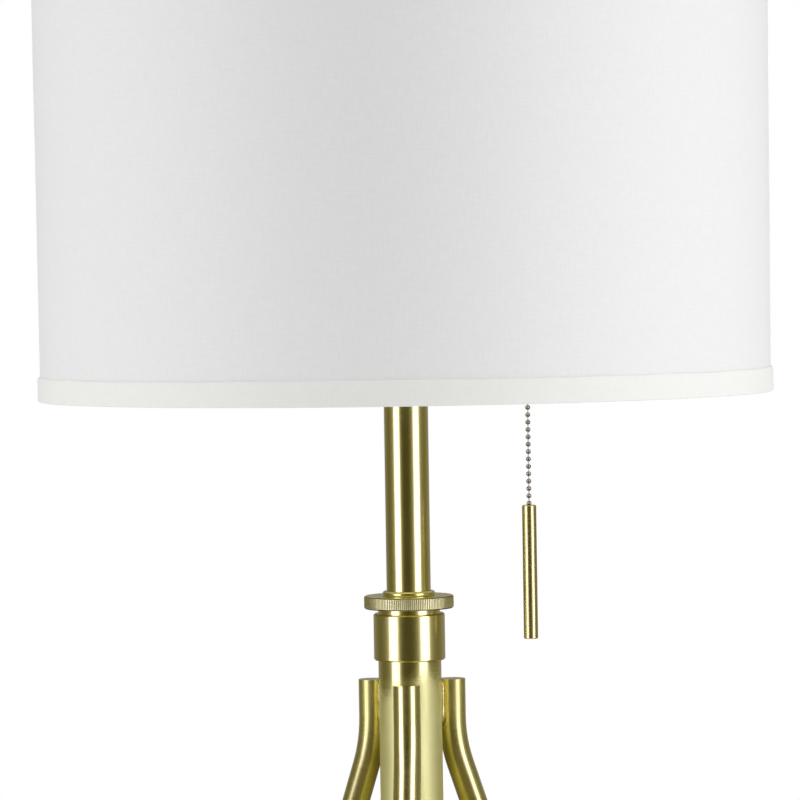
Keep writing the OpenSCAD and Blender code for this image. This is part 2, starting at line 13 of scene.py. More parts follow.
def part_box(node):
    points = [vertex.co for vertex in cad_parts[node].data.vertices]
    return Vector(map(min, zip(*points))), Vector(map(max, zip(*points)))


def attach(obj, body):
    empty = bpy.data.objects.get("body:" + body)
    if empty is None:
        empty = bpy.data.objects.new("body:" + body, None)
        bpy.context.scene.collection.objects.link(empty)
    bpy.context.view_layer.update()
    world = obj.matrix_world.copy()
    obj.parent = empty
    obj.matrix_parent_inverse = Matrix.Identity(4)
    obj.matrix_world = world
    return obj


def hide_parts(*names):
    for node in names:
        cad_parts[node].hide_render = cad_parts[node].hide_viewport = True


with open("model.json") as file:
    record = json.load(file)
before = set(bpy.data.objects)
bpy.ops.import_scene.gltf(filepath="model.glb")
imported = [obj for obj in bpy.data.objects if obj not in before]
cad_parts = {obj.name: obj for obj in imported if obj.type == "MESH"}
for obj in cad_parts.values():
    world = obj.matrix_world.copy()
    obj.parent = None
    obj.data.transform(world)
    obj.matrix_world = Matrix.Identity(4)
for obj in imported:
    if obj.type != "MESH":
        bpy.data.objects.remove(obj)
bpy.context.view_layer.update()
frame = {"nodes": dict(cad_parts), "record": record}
NODES = frame["nodes"]
SLOT_OF = {s["node"]: s["material_slot"] for s in frame["record"]["subparts"]}


def at_angle(radius, angle, z):
    """The point at that distance from the lamp's axis, at an angle from -Y towards +X."""
    return Vector((radius * math.sin(angle), -radius * math.cos(angle), z))


# ---------------------------------------------------------------- camera

IMAGE = 800                   # pixels, the photograph's side
FOCAL_PX = 4300               # focal length in those pixels
SENSOR = 36.0                 # millimetres, the sensor's side
DISTANCE = 2.389              # from the camera to the point that it looks at
PITCH = math.radians(1.67)    # how far the view looks down
TURN = math.radians(4.5)      # how far the camera stands to the right of the front leg
ROLL = math.radians(0.90)     # the photograph's lean
AIM = Vector((-0.0032, 0.0, 0.5034))


def make_camera():
    """The photograph's camera."""
    data = bpy.data.cameras.new("camera")
    data.sensor_width = SENSOR
    data.sensor_fit = "HORIZONTAL"
    data.lens = SENSOR * FOCAL_PX / IMAGE
    data.clip_start = 0.05
    data.clip_end = 30
    camera = bpy.data.objects.new("camera", data)
    bpy.context.scene.collection.objects.link(camera)
    away = at_angle(math.cos(PITCH), TURN, math.sin(PITCH))
    turn = (-away).to_track_quat("-Z", "Y").to_matrix().to_4x4()
    lean = Matrix.Rotation(-ROLL, 4, "Z")
    camera.matrix_world = Matrix.Translation(AIM + away * DISTANCE) @ turn @ lean
    bpy.context.scene.camera = camera


make_camera()

# ---------------------------------------------------------------- node graphs

NOISE_LOW, NOISE_HIGH = 0.3, 0.7    # where nearly all of a noise's values lie


class Graph:
    """A material's node tree, with short ways to add the nodes used here."""

    def __init__(self, name):
        self.mat = bpy.data.materials.new(name)
        self.mat.use_nodes = True
        self.tree = self.mat.node_tree
        self.tree.nodes.clear()
        self.out = self.node("ShaderNodeOutputMaterial")
        self.bsdf = self.node("ShaderNodeBsdfPrincipled")
        self.plug(self.bsdf.outputs["BSDF"], self.out.inputs["Surface"])

    def node(self, kind, **values):
        """A new node with some of its properties set."""
        n = self.tree.nodes.new(kind)
        for key, value in values.items():
            setattr(n, key, value)
        return n

    def plug(self, value, socket):
        """Links an output to a socket, or gives the socket a plain value."""
        if isinstance(value, bpy.types.NodeSocket):
            self.tree.links.new(value, socket)
        else:
            socket.default_value = value

    def set(self, **values):
        """Inputs of the main shader by name, with _ for a space."""
        for key, value in values.items():
            self.plug(value, self.bsdf.inputs[key.replace("_", " ")])

    def where(self, scale=(1, 1, 1), attribute=None):
        """Object coordinates, or a vector attribute, scaled along each axis."""
        if attribute:
            source = self.node("ShaderNodeAttribute", attribute_name=attribute)
            vector = source.outputs["Vector"]
        else:
            vector = self.node("ShaderNodeTexCoord").outputs["Object"]
        mapping = self.node("ShaderNodeMapping")
        self.plug(vector, mapping.inputs["Vector"])
        mapping.inputs["Scale"].default_value = scale
        return mapping.outputs["Vector"]

    def axes(self, scale=(1, 1, 1), attribute=None):
        """The same coordinates as three numbers X, Y and Z."""
        n = self.node("ShaderNodeSeparateXYZ")
        self.plug(self.where(scale, attribute), n.inputs[0])
        return n.outputs["X"], n.outputs["Y"], n.outputs["Z"]

    def radius(self):
        """Distance from the lamp's axis."""
        n = self.node("ShaderNodeVectorMath", operation="LENGTH")
        self.plug(self.where((1, 1, 0)), n.inputs[0])
        return n.outputs["Value"]

    def noise(self, scale, attribute=None, detail=2, rough=0.5):
        """Noise with so many lumps a metre along each axis."""
        n = self.node("ShaderNodeTexNoise")
        self.plug(self.where(scale, attribute), n.inputs["Vector"])
        n.inputs["Scale"].default_value = 1.0
        n.inputs["Detail"].default_value = detail
        n.inputs["Roughness"].default_value = rough
        return n.outputs["Fac"]

    def remap(self, value, low, high, new_low, new_high, shape="LINEAR"):
        """A value's span from low to high mapped to a new one, and held at its ends."""
        n = self.node("ShaderNodeMapRange", interpolation_type=shape)
        self.plug(value, n.inputs["Value"])
        n.inputs["From Min"].default_value = low
        n.inputs["From Max"].default_value = high
        n.inputs["To Min"].default_value = new_low
        n.inputs["To Max"].default_value = new_high
        return n.outputs["Result"]

    def spread(self, value, new_low, new_high):
        """A noise's usual span mapped to a new one."""
        return self.remap(value, NOISE_LOW, NOISE_HIGH, new_low, new_high)

    def rise(self, value, low, high):
        """0 up to low, 1 from high on, smooth between them."""
        return self.remap(value, low, high, 0, 1, "SMOOTHSTEP")

    def fall(self, value, low, high):
        """1 up to low, 0 from high on, smooth between them."""
        return self.math("SUBTRACT", 1.0, self.rise(value, low, high))

    def math(self, operation, a, b=0.0):
        """A maths node on one or two values."""
        n = self.node("ShaderNodeMath", operation=operation)
        self.plug(a, n.inputs[0])
        self.plug(b, n.inputs[1])
        return n.outputs["Value"]

    def product(self, first, *others):
        """Values multiplied together."""
        for other in others:
            first = self.math("MULTIPLY", first, other)
        return first

    def mix(self, factor, a, b):
        """a where the factor is 0, b where it is 1."""
        n = self.node("ShaderNodeMix", data_type="RGBA")
        self.plug(factor, n.inputs["Factor"])
        self.plug(a, n.inputs["A"])
        self.plug(b, n.inputs["B"])
        return n.outputs["Result"]

    def ramp(self, value, *stops):
        """A colour ramp through (position, rgb) stops."""
        n = self.node("ShaderNodeValToRGB")
        self.plug(value, n.inputs["Fac"])
        elements = n.color_ramp.elements
        while len(elements) < len(stops):
            elements.new(0.5)
        for element, (position, rgb) in zip(elements, stops):
            element.position = position
            element.color = (*rgb, 1)
        return n.outputs["Color"]

    def tone(self, value, light, dark):
        """A colour that goes from dark at 0 to light at 1."""
        return self.ramp(value, (0.0, dark), (1.0, light))

    def bump(self, height, depth, strength):
        """Relief of that depth on the main shader."""
        n = self.node("ShaderNodeBump")
        n.inputs["Strength"].default_value = strength
        n.inputs["Distance"].default_value = depth
        self.plug(height, n.inputs["Height"])
        self.plug(n.outputs["Normal"], self.bsdf.inputs["Normal"])

    def haze(self, amount, roughness):
        """Mixes in a duller reflection of the same colour, called after set and bump."""
        dull = self.node("ShaderNodeBsdfPrincipled")
        dull.inputs["Metallic"].default_value = 1.0
        dull.inputs["Roughness"].default_value = roughness
        for name in ("Base Color", "Normal"):
            for link in self.bsdf.inputs[name].links:
                self.plug(link.from_socket, dull.inputs[name])
        both = self.node("ShaderNodeMixShader")
        self.plug(amount, both.inputs["Fac"])
        self.plug(self.bsdf.outputs["BSDF"], both.inputs[1])
        self.plug(dull.outputs["BSDF"], both.inputs[2])
        self.plug(both.outputs["Shader"], self.out.inputs["Surface"])


# ---------------------------------------------------------------- plain materials

BRUSH = (70, 70, 2600)        # turning lines round the Z axis, a metre
BRUSH_DEPTH = 0.00002
STRAYS = 50                   # how often the threads' course strays, a metre
STRAY = 2.5                   # and how far, in radians of the thread pitch
SLUBS = 110                   # slubs along a thread, a metre
FUZZ = 420                    # soft spots, a metre
WARP, WEFT = 0.22, 0.10       # how strongly the upright and the level threads show


def metal(name, light, dark, rough, brush, mottle):
    """Brushed metal with a faint mottled tone."""
    g = Graph(name)
    lines = g.noise(brush, detail=3, rough=0.6)
    tone = g.spread(g.noise((mottle,) * 3, detail=4, rough=0.55), 0, 1)
    tone = g.math("ADD", tone, g.spread(lines, -0.15, 0.15))
    g.set(
        Base_Color=g.tone(tone, light, dark),
        Metallic=1.0,
        Roughness=g.spread(lines, *rough),
    )
    g.bump(lines, BRUSH_DEPTH, strength=0.5)
    return g.mat


def plastic(name, light, dark, rough, grain, depth):
    """Moulded or coated surface with a fine grain and a faint change of tone."""
    g = Graph(name)
    fine = g.noise((grain,) * 3, detail=3)
    broad = g.noise((30, 30, 30), detail=3)
    g.set(
        Base_Color=g.tone(g.spread(broad, 0, 1), light, dark),
        Roughness=g.spread(fine, *rough),
    )
    g.bump(fine, depth, strength=0.6)
    return g.mat


def cloth(name, light, dark, pitch, slub, depth):
    """Plain weave on the cloth attribute: upright and level threads with short slubs."""
    g = Graph(name)
    round_drum, up, _ = g.axes((2 * math.pi / pitch,) * 3, "cloth")
    stray = g.remap(g.noise((STRAYS,) * 3, "cloth"), 0, 1, -STRAY, STRAY)
    warp = g.math("SINE", g.math("ADD", round_drum, stray))
    weft = g.math("SINE", g.math("ADD", up, stray))
    threads = g.math("ADD", g.product(warp, WARP), g.product(weft, WEFT))
    upright = g.noise((1 / slub, SLUBS, 1), "cloth", rough=0.6)
    level = g.noise((SLUBS, 1 / slub, 1), "cloth", rough=0.6)
    slubs = g.math("ADD", g.spread(upright, 0, 0.4), g.spread(level, 0, 0.4))
    slubs = g.math("ADD", slubs, g.spread(g.noise((FUZZ,) * 3, "cloth"), 0, 0.2))
    g.set(
        Base_Color=g.tone(g.math("ADD", slubs, threads), light, dark),
        Roughness=0.92,
        Sheen_Weight=0.15,
        Sheen_Roughness=0.5,
        Specular_IOR_Level=0.2,
    )
    g.bump(g.math("ADD", threads, g.product(slubs, 0.6)), depth, strength=0.5)
    return g.mat


# light and dark tone, span of the roughness, brush lines and mottles a metre
METALS = {
    "satin_brass": ((0.80, 0.72, 0.26), (0.75, 0.66, 0.22), (0.13, 0.20), BRUSH, 28),
    "plated_steel": ((0.68, 0.67, 0.56), (0.58, 0.57, 0.47), (0.30, 0.42), (300,) * 3, 28),
    "nickel_chain": ((0.60, 0.56, 0.44), (0.46, 0.42, 0.33), (0.12, 0.22), (900,) * 3, 300),
}
# light and dark tone, span of the roughness, grains a metre, depth of the grain
PLASTICS = {
    "black_rubber": ((0.035, 0.035, 0.035), (0.02, 0.02, 0.02), (0.6, 0.8), 1500, 0.00004),
    "nylon": ((0.82, 0.81, 0.77), (0.76, 0.75, 0.70), (0.35, 0.5), 900, 0.00002),
    "liner_board": ((0.50, 0.40, 0.28), (0.40, 0.31, 0.21), (0.7, 0.9), 1200, 0.00005),
    "moulded_black": ((0.04, 0.04, 0.04), (0.025, 0.025, 0.025), (0.3, 0.45), 900, 0.00002),
    "frosted_glass": ((0.90, 0.90, 0.87), (0.87, 0.87, 0.84), (0.32, 0.42), 1600, 0.00001),
    "shade_backing": ((0.88, 0.88, 0.86), (0.85, 0.85, 0.83), (0.42, 0.55), 700, 0.00002),
}
# light and dark tone, pitch of the threads, width of a slub, depth of the relief
CLOTHS = {
    "white_linen": ((0.875, 0.875, 0.872), (0.815, 0.815, 0.812), 0.0011, 0.0009, 0.00006),
    "trim_tape": ((0.90, 0.90, 0.873), (0.855, 0.855, 0.827), 0.0009, 0.0012, 0.00006),
}
MATERIALS = {
    name: make(name, *row)
    for make, table in ((metal, METALS), (plastic, PLASTICS), (cloth, CLOTHS))
    for name, row in table.items()
}

# ---------------------------------------------------------------- worked brass

LEG_AZIMUTHS = {"front": -90, "right": 30, "left": 150}
LEG_CIRCLE = 0.0258           # from the lamp's axis to the upright stretch of a leg
TUBE_R = 0.0175               # outer radius of the lower tube

# Zones of the brass. A pair says where the zone's edge begins and where it ends: RADII are
# distances from the lamp's axis.
HEAT_AND_REFLECTION_RADII = (0.0190, 0.0235)    # temper colours beside the welds, partly a painted reflection between leg and tube
HEAT_AND_REFLECTION_LEG_RADII = (0.0095, 0.0122)    # and their distance from a leg's axis
HEAT_AND_REFLECTION_BOTTOM = (0.316, 0.325)
HEAT_AND_REFLECTION_TOP = (0.340, 0.350)
HEAT_AND_REFLECTION_COLOUR = (0.62, 0.43, 0.12, 1)
DRESSED_RADII = (0.026, 0.034)    # side legs, dressed after welding
DRESSED_BOTTOM = (0.298, 0.340)
DRESSED_Y = (-0.012, -0.006)  # the front leg lies at less, the side legs at more
DRESSED_COLOUR = (0.78, 0.71, 0.21, 1)
PAINTED_SHADE_RADII = (0.0215, 0.0275)    # painted shade on the legs' sides towards the tube
PAINTED_SHADE_COLOUR = (0.40, 0.34, 0.09, 1)
BLAST_EDGE = (                # share of the way across the tube, and the blasting's top there
    (0.0, 0.3480), (0.1, 0.3445), (0.45, 0.3450), (0.66, 0.3525), (0.8, 0.3560), (1.0, 0.3500),
)
BLAST_FADE = (-0.007, 0.012)  # depth below that
RIM_RADII = (0.0240, 0.0246)  # the lock ring's rim
RIM_ROUGHNESS = (0.27, 0.27, 0.27, 1)
# painted shade down in the knurl grooves
GROOVE_RADII = (0.024865, 0.024935)
GROOVE_PAINTED_SHADE = (0.20, 0.17, 0.06, 1)


def heat_tint_and_reflection(g, colour):
    """Straw and brown temper colours beside the welds, in blotches, partly a painted reflection
    between leg and tube.
    """
    flat = g.where((1, 1, 0))
    closest = None
    for azimuth in LEG_AZIMUTHS.values():
        a = math.radians(azimuth)
        n = g.node("ShaderNodeVectorMath", operation="DISTANCE")
        g.plug(flat, n.inputs[0])
        n.inputs[1].default_value = (LEG_CIRCLE * math.cos(a), LEG_CIRCLE * math.sin(a), 0)
        distance = n.outputs["Value"]
        closest = g.math("MINIMUM", closest, distance) if closest else distance
    z = g.axes()[2]
    amount = g.product(
        g.fall(g.radius(), *HEAT_AND_REFLECTION_RADII),
        g.fall(closest, *HEAT_AND_REFLECTION_LEG_RADII),
        g.rise(z, *HEAT_AND_REFLECTION_BOTTOM),
        g.fall(z, *HEAT_AND_REFLECTION_TOP),
        g.remap(g.noise((210, 210, 150), detail=3), 0.4, 0.66, 0.1, 0.6),
    )
    return g.mix(amount, colour, HEAT_AND_REFLECTION_COLOUR)


def leg_brass():
    """Brushed brass of the legs: duller where dressed after welding, with painted shade towards
    the tube.
    """
    g = Graph("leg_brass")
    _, y, z = g.axes()
    lines = g.noise((70, 70, 1100), detail=3, rough=0.6)
    mottle = g.spread(g.noise((45, 45, 30), detail=4), 0, 1)
    colour = g.tone(mottle, (0.83, 0.75, 0.27), (0.76, 0.68, 0.23))
    stray = g.spread(g.noise((90, 90, 70)), -0.003, 0.003)
    dressed = g.product(
        g.fall(g.radius(), *DRESSED_RADII),
        g.rise(g.math("ADD", z, stray), *DRESSED_BOTTOM),
        g.rise(y, *DRESSED_Y),
    )
    # painted shade: the legs' sides towards the tube are darkened
    painted_shade = g.product(g.fall(g.radius(), *PAINTED_SHADE_RADII), 0.85)
    colour = g.mix(dressed, g.mix(painted_shade, colour, PAINTED_SHADE_COLOUR), DRESSED_COLOUR)
    # the base colour carries temper colours and a painted reflection beside the welds
    g.set(
        Base_Color=heat_tint_and_reflection(g, colour),
        Metallic=1.0,
        Roughness=g.spread(lines, 0.18, 0.26),
    )
    g.bump(lines, BRUSH_DEPTH, strength=0.3)
    g.haze(g.product(dressed, 0.55), roughness=0.50)
    return g.mat


def tube_brass():
    """Lower tube: turned finish above the welds, blasted dull below them."""
    g = Graph("tube_brass")
    x, _, z = g.axes()
    lines = g.noise(BRUSH, detail=3, rough=0.6)
    grain = g.noise((900, 900, 500))
    across = g.remap(x, -TUBE_R, TUBE_R, 0, 1)
    edge = g.ramp(across, *((place, (height,) * 3) for place, height in BLAST_EDGE))
    stray = g.spread(g.noise((120, 120, 120)), -0.0015, 0.0015)
    dull = g.rise(g.math("SUBTRACT", g.math("ADD", edge, stray), z), *BLAST_FADE)
    mottle = g.spread(g.noise((40, 40, 28), detail=4), 0, 1)
    turned = g.tone(mottle, (0.80, 0.72, 0.25), (0.75, 0.66, 0.21))
    blasted = g.tone(mottle, (1.0, 0.96, 0.39), (0.94, 0.90, 0.32))
    roughness = g.remap(dull, 0, 1, 0.15, 0.36)
    # the base colour carries temper colours and a painted reflection beside the welds
    g.set(
        Base_Color=heat_tint_and_reflection(g, g.mix(dull, turned, blasted)),
        Metallic=1.0,
        Roughness=g.math("ADD", roughness, g.spread(lines, -0.03, 0.03)),
    )
    g.bump(g.mix(dull, lines, grain), BRUSH_DEPTH, strength=0.5)
    uneven = g.spread(g.noise((170, 170, 45), detail=3), 0.70, 0.98)
    g.haze(g.product(dull, uneven), roughness=0.60)
    return g.mat


def weld_brass():
    """Filler metal with the temper colours that its heat left."""
    g = Graph("weld_brass")
    mottle = g.remap(g.noise((260, 260, 160), detail=3), 0.35, 0.65, 0, 1)
    grain = g.noise((1200, 1200, 1200))
    straw, brass, bright = (0.66, 0.50, 0.17), (0.78, 0.66, 0.23), (0.84, 0.77, 0.30)
    g.set(
        Base_Color=g.ramp(mottle, (0.0, straw), (0.4, brass), (1.0, bright)),
        Metallic=1.0,
        Roughness=g.spread(grain, 0.24, 0.34),
    )
    g.bump(grain, depth=0.00001, strength=0.4)
    return g.mat


def knurled_brass():
    """The lock ring: a matt rim with painted shade in the knurl grooves, smoother on its flat
    faces.
    """
    g = Graph("knurled_brass")
    rim = g.remap(g.radius(), *RIM_RADII, 0, 1)
    # painted shade: the knurl grooves below the crests are darkened
    groove = g.product(g.fall(g.radius(), *GROOVE_RADII), rim)
    lines = g.noise(BRUSH)
    mottle = g.spread(g.noise((300, 300, 300), detail=3), 0, 1)
    colour = g.tone(mottle, (0.90, 0.84, 0.36), (0.82, 0.76, 0.30))
    g.set(
        Base_Color=g.mix(groove, colour, GROOVE_PAINTED_SHADE),
        Metallic=1.0,
        Roughness=g.mix(rim, g.remap(lines, 0, 1, 0.20, 0.28), RIM_ROUGHNESS),
    )
    flat = g.math("SUBTRACT", 1.0, rim)
    g.bump(g.product(lines, flat), BRUSH_DEPTH, strength=0.4)
    g.haze(g.product(rim, 0.4), roughness=0.60)
    return g.mat


def pull_brass():
    """The pull bar: browner than the stand, drawn lengthways."""
    g = Graph("pull_brass")
    lines = g.noise((420, 420, 30))
    mottle = g.spread(g.noise((120, 120, 30)), 0, 1)
    g.set(
        Base_Color=g.tone(mottle, (0.74, 0.64, 0.235), (0.68, 0.58, 0.20)),
        Metallic=1.0,
        Roughness=g.spread(lines, 0.20, 0.28),
    )
    return g.mat


def dress_nodes():
    """The CAD nodes' materials: their slot's, or a worked one of their own."""
    own = {f"leg_{leg}": MATERIALS["leg_brass"] for leg in LEG_AZIMUTHS}
    own["leg_welds"] = MATERIALS["weld_brass"]
    own["lower_tube"] = tube_brass()
    own["lock_ring"] = knurled_brass()
    own["pull_bar"] = pull_brass()
    for name, node in NODES.items():
        node.data.materials.clear()
        node.data.materials.append(own.get(name, MATERIALS[SLOT_OF[name]]))


MATERIALS["leg_brass"] = leg_brass()
MATERIALS["weld_brass"] = weld_brass()
dress_nodes()

# ---------------------------------------------------------------- mesh helpers


def add_mesh(name, points, faces, smooth=True):
    """A new object from points and faces."""
    mesh = bpy.data.meshes.new(name)
    mesh.from_pydata(points, [], faces)
    mesh.validate()
    mesh.update()
    if smooth:
        mesh.polygons.foreach_set("use_smooth", [True] * len(mesh.polygons))
    piece = bpy.data.objects.new(name, mesh)
    bpy.context.scene.collection.objects.link(piece)
    return piece


def finish_piece(piece, body, slot, replaced=(), material=None):
    """Gives a piece its material and its body, and hides the CAD nodes that it stands for."""
    piece.data.materials.clear()
    piece.data.materials.append(MATERIALS[material or slot])
    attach(piece, body)
    if replaced:
        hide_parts(*replaced)
    return piece


def loop_grid(rows, columns, closed_rows=True):
    """Quads over a grid of rows x columns; columns close on themselves."""
    faces = []
    for i in range(rows if closed_rows else rows - 1):
        here, above = i * columns, (i + 1) % rows * columns
        for j in range(columns):
            k = (j + 1) % columns
            faces.append((here + j, here + k, above + k, above + j))
    return faces


def cloth_attribute(piece, coordinates):
    """Places on the flat cloth, for the weave."""
    data = piece.data.attributes.new("cloth", "FLOAT_VECTOR", "POINT")
    data.data.foreach_set("vector", [x for p in coordinates for x in p])


# ---------------------------------------------------------------- shade cover

linen_low, linen_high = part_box("shade_linen")
SHADE_R = 0.2022              # outer radius at the drum's lower edge
SHADE_TOP_R = linen_high[0]   # and at its upper edge
COVER_T = 0.00055             # thickness of the linen
COVER_PLAY = 0.0003           # from its edges to those of the CAD solid
SEAM_AT = math.radians(88)    # from +X, so at the back
SEAM_LAP = 0.011              # how far the end laps over the start
SEAM_STEP = 0.0006            # how far it stands out there
SEAM_EASE = 0.05              # radians over which it rises to that
RIPPLE = 0.00012              # size of the cloth's slow unevenness
RIPPLE_ROUND, RIPPLE_UP = 3, 14    # its scale round the drum and up it
TURNS = 720
LEVELS = 48


def cover_radius(angle, level, z):
    """Radius of the cover's outer face at an angle from the seam."""
    ease = min(1.0, max(0.0, (angle - (2 * math.pi - SEAM_EASE)) / SEAM_EASE))
    lift = SEAM_STEP * ease * ease * (3 - 2 * ease)
    a = SEAM_AT + angle
    spot = Vector((math.cos(a) * RIPPLE_ROUND, math.sin(a) * RIPPLE_ROUND, z * RIPPLE_UP))
    drum = SHADE_R + (SHADE_TOP_R - SHADE_R) * level
    return drum + lift + RIPPLE * noise.noise(spot)


def make_cover():
    """The linen: one sheet round the drum whose end laps over its start at the back."""
    total = 2 * math.pi + SEAM_LAP / SHADE_R
    bottom, top = linen_low[2] + COVER_PLAY, linen_high[2] - COVER_PLAY
    points, where = [], []
    for depth in (COVER_T, 0.0):
        for i in range(LEVELS + 1):
            z = bottom + (top - bottom) * i / LEVELS
            for j in range(TURNS + 1):
                angle = total * j / TURNS
                r = cover_radius(angle, i / LEVELS, z) - depth
                a = SEAM_AT + angle
                points.append((r * math.cos(a), r * math.sin(a), z))
                where.append((angle * SHADE_R, z, 0.0))
    columns = TURNS + 1
    layer = (LEVELS + 1) * columns    # from the inner face's points to the outer face's
    faces = []
    for i in range(LEVELS):
        for j in range(TURNS):
            a = i * columns + j
            quad = (a, a + 1, a + 1 + columns, a + columns)
            faces.append(tuple(reversed(quad)))
            faces.append(tuple(layer + k for k in quad))
    for j in range(TURNS):
        t = LEVELS * columns + j
        faces.append((j, j + 1, layer + j + 1, layer + j))
        faces.append((t + 1, t, layer + t, layer + t + 1))
    for i in range(LEVELS):
        a = i * columns
        b = a + TURNS
        faces.append((a + columns, a, layer + a, layer + a + columns))
        faces.append((b, b + columns, layer + b + columns, layer + b))
    piece = add_mesh("linen_cover", points, faces)
    cloth_attribute(piece, where)
    return finish_piece(piece, "shade", "white_linen", ["shade_linen"])


# ---------------------------------------------------------------- trims

TRIM_H = 0.0135               # height of the tape outside
TRIM_T = 0.00145              # its thickness, folded double
TRIM_IN = 0.0077              # height of the tape inside
TRIM_TUCK = 0.0004            # how far below its top the tape meets the drum
FOLD_W = 0.00601              # from the drum's face in to the tape's inner face
TRIM_WAVE = 0.0003            # how far its edge wanders
TRIM_PUFF = 0.00009           # how far its face swells
WAVE_ROUND, WAVE_UP = 9, 7    # scale of the waves round the drum, and from trim to trim
PUFF_ROUND, PUFF_UP = 2.3, 90    # the swelling's scale in those waves, and up the tape
HEM_TURNS = 540


def trim_outline(face):
    """The folded tape's section as (r, z, outside) rows; z grows inwards."""
    outer = face + TRIM_T
    inner = face - FOLD_W
    r = TRIM_T / 2
    path = []

    def arc(cx, cz, start, end, steps, outside):
        for k in range(steps + 1):
            a = math.radians(start + (end - start) * k / steps)
            path.append((cx + r * math.cos(a), cz + r * math.sin(a), outside))

    def straight(x, low, high, steps, outside):
        for k in range(1, steps):
            path.append((x, low + (high - low) * k / steps, outside))

    path.append((face, TRIM_H - TRIM_TUCK, True))
    arc(outer - r, TRIM_H - r, 110, 0, 5, True)
    straight(outer, TRIM_H - r, r, 8, True)
    arc(outer - r, r, 0, -90, 5, True)
    path.append(((outer + inner) / 2, 0.0, False))
    arc(inner + r, r, -90, -180, 5, False)
    straight(inner, r, TRIM_IN - r, 4, False)
    arc(inner + r, TRIM_IN - r, 180, 0, 6, False)
    path.append((inner + TRIM_T, TRIM_T, False))
    path.append((face, TRIM_T, False))
    return path


def make_trim(name, node, edge_z, inwards):
    """Folded tape round an edge of the drum, with the slight waves of hand work."""
    outline = trim_outline(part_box(node)[1][0] - TRIM_T)
    along = [0.0]
    for (r0, z0, _), (r1, z1, _) in zip(outline, outline[1:]):
        along.append(along[-1] + math.hypot(r1 - r0, z1 - z0))
    points, where = [], []
    for (r, z, outside), place in zip(outline, along):
        for j in range(HEM_TURNS):
            angle = 2 * math.pi * j / HEM_TURNS
            c, s = math.cos(angle), math.sin(angle)
            rr, zz = r, z
            if outside:
                spot = Vector((c * WAVE_ROUND, s * WAVE_ROUND, edge_z * WAVE_UP))
                swell = spot * PUFF_ROUND + Vector((0, 0, z * PUFF_UP))
                rr += TRIM_PUFF * (noise.noise(swell) - 1)
                zz += TRIM_WAVE * noise.noise(spot) * max(0.0, z / TRIM_H)
            points.append((rr * c, rr * s, edge_z + inwards * zz))
            where.append((angle * SHADE_R, place, 0.0))
    faces = loop_grid(len(outline), HEM_TURNS)
    if inwards < 0:
        faces = [tuple(reversed(f)) for f in faces]
    piece = add_mesh(name, points, faces)
    cloth_attribute(piece, where)
    return finish_piece(piece, "shade", "trim_tape", [node])


cover = make_cover()
bottom_hem = make_trim("bottom_hem", "bottom_trim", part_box("bottom_trim")[0][2], 1)
top_hem = make_trim("top_hem", "top_trim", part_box("top_trim")[1][2], -1)

# ---------------------------------------------------------------- weld beads

WELD_AT = 0.0180              # from the lamp's axis to a bead's middle
WELD_ASIDE = 0.0036           # and from the plane through axis and leg
WELD_R = 0.0013               # radius of a bead
WELD_TIP_R = 0.00001          # and at its very ends
WELD_SQUARE = 7               # how abruptly it ends
WELD_BELOW, WELD_ABOVE = 0.003, 0.0004    # how far it goes on past the solid filler
SCALES, SCALE_SIZE = 60, 0.015    # even scales along it, in radians and as a share of its radius
LUMPS, LUMP_SIZE = 160, 0.07  # uneven lumps, a metre and as a share of its radius
STRAYS_ASIDE, STRAY_SIZE = 200, 0.0003    # wandering aside, a metre and in metres
LUMP_SEEDS, STRAY_SEED = (0.37, 3.1), 7.7    # set the six beads apart
WELD_STEPS = 44
WELD_SEGMENTS = 14


def weld_section(azimuth, side, t, z):
    """Radius of a bead, and how far it strays aside, at a share t of its length."""
    cap = math.sqrt(max(0.0, 1 - abs(2 * t - 1) ** WELD_SQUARE))
    scale = SCALE_SIZE * math.sin(t * SCALES + side)
    lump_spot = Vector((azimuth * LUMP_SEEDS[0], side * LUMP_SEEDS[1], z * LUMPS))
    stray_spot = Vector((side * STRAY_SEED, azimuth, z * STRAYS_ASIDE))
    radius = WELD_R * (1 + scale + LUMP_SIZE * noise.noise(lump_spot)) * cap + WELD_TIP_R
    return radius, STRAY_SIZE * noise.noise(stray_spot)


def make_weld(name, azimuth, side):
    """A lumpy bead of filler in the groove between a leg and the lower tube."""
    filler_low, filler_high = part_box("leg_welds")
    bottom, top = filler_low[2] - WELD_BELOW, filler_high[2] + WELD_ABOVE
    turn = math.radians(azimuth)
    points = []
    for i in range(WELD_STEPS + 1):
        z = bottom + (top - bottom) * i / WELD_STEPS
        radius, stray = weld_section(azimuth, side, i / WELD_STEPS, z)
        for j in range(WELD_SEGMENTS):
            a = 2 * math.pi * j / WELD_SEGMENTS
            out = WELD_AT + radius * math.cos(a)
            aside = side * WELD_ASIDE + stray + radius * math.sin(a)
            x = out * math.cos(turn) - aside * math.sin(turn)
            y = out * math.sin(turn) + aside * math.cos(turn)
            points.append((x, y, z))
    faces = loop_grid(WELD_STEPS + 1, WELD_SEGMENTS, closed_rows=False)
    last = WELD_STEPS * WELD_SEGMENTS
    faces.append(tuple(reversed(range(WELD_SEGMENTS))))
    faces.append(tuple(last + k for k in range(WELD_SEGMENTS)))
    return add_mesh(name, points, faces)


for leg, azimuth in LEG_AZIMUTHS.items():
    for side, word in ((1, "a"), (-1, "b")):
        bead = make_weld(f"weld_{leg}_{word}", azimuth, side)
        finish_piece(bead, "base", "satin_brass", material="weld_brass")

# ---------------------------------------------------------------- floor and world

AMBIENT = 0.185               # light from all round on what isn't shiny
FLOOR_R = 1.6
FLOOR_Z = -0.0002
FLOOR_GREY = (0.92, 0.92, 0.92, 1)
FLOOR_FADE = (0.22, 0.95)     # where the floor turns from lit grey to the white background
FLOOR_SPOKES, FLOOR_STEPS = 96, 24


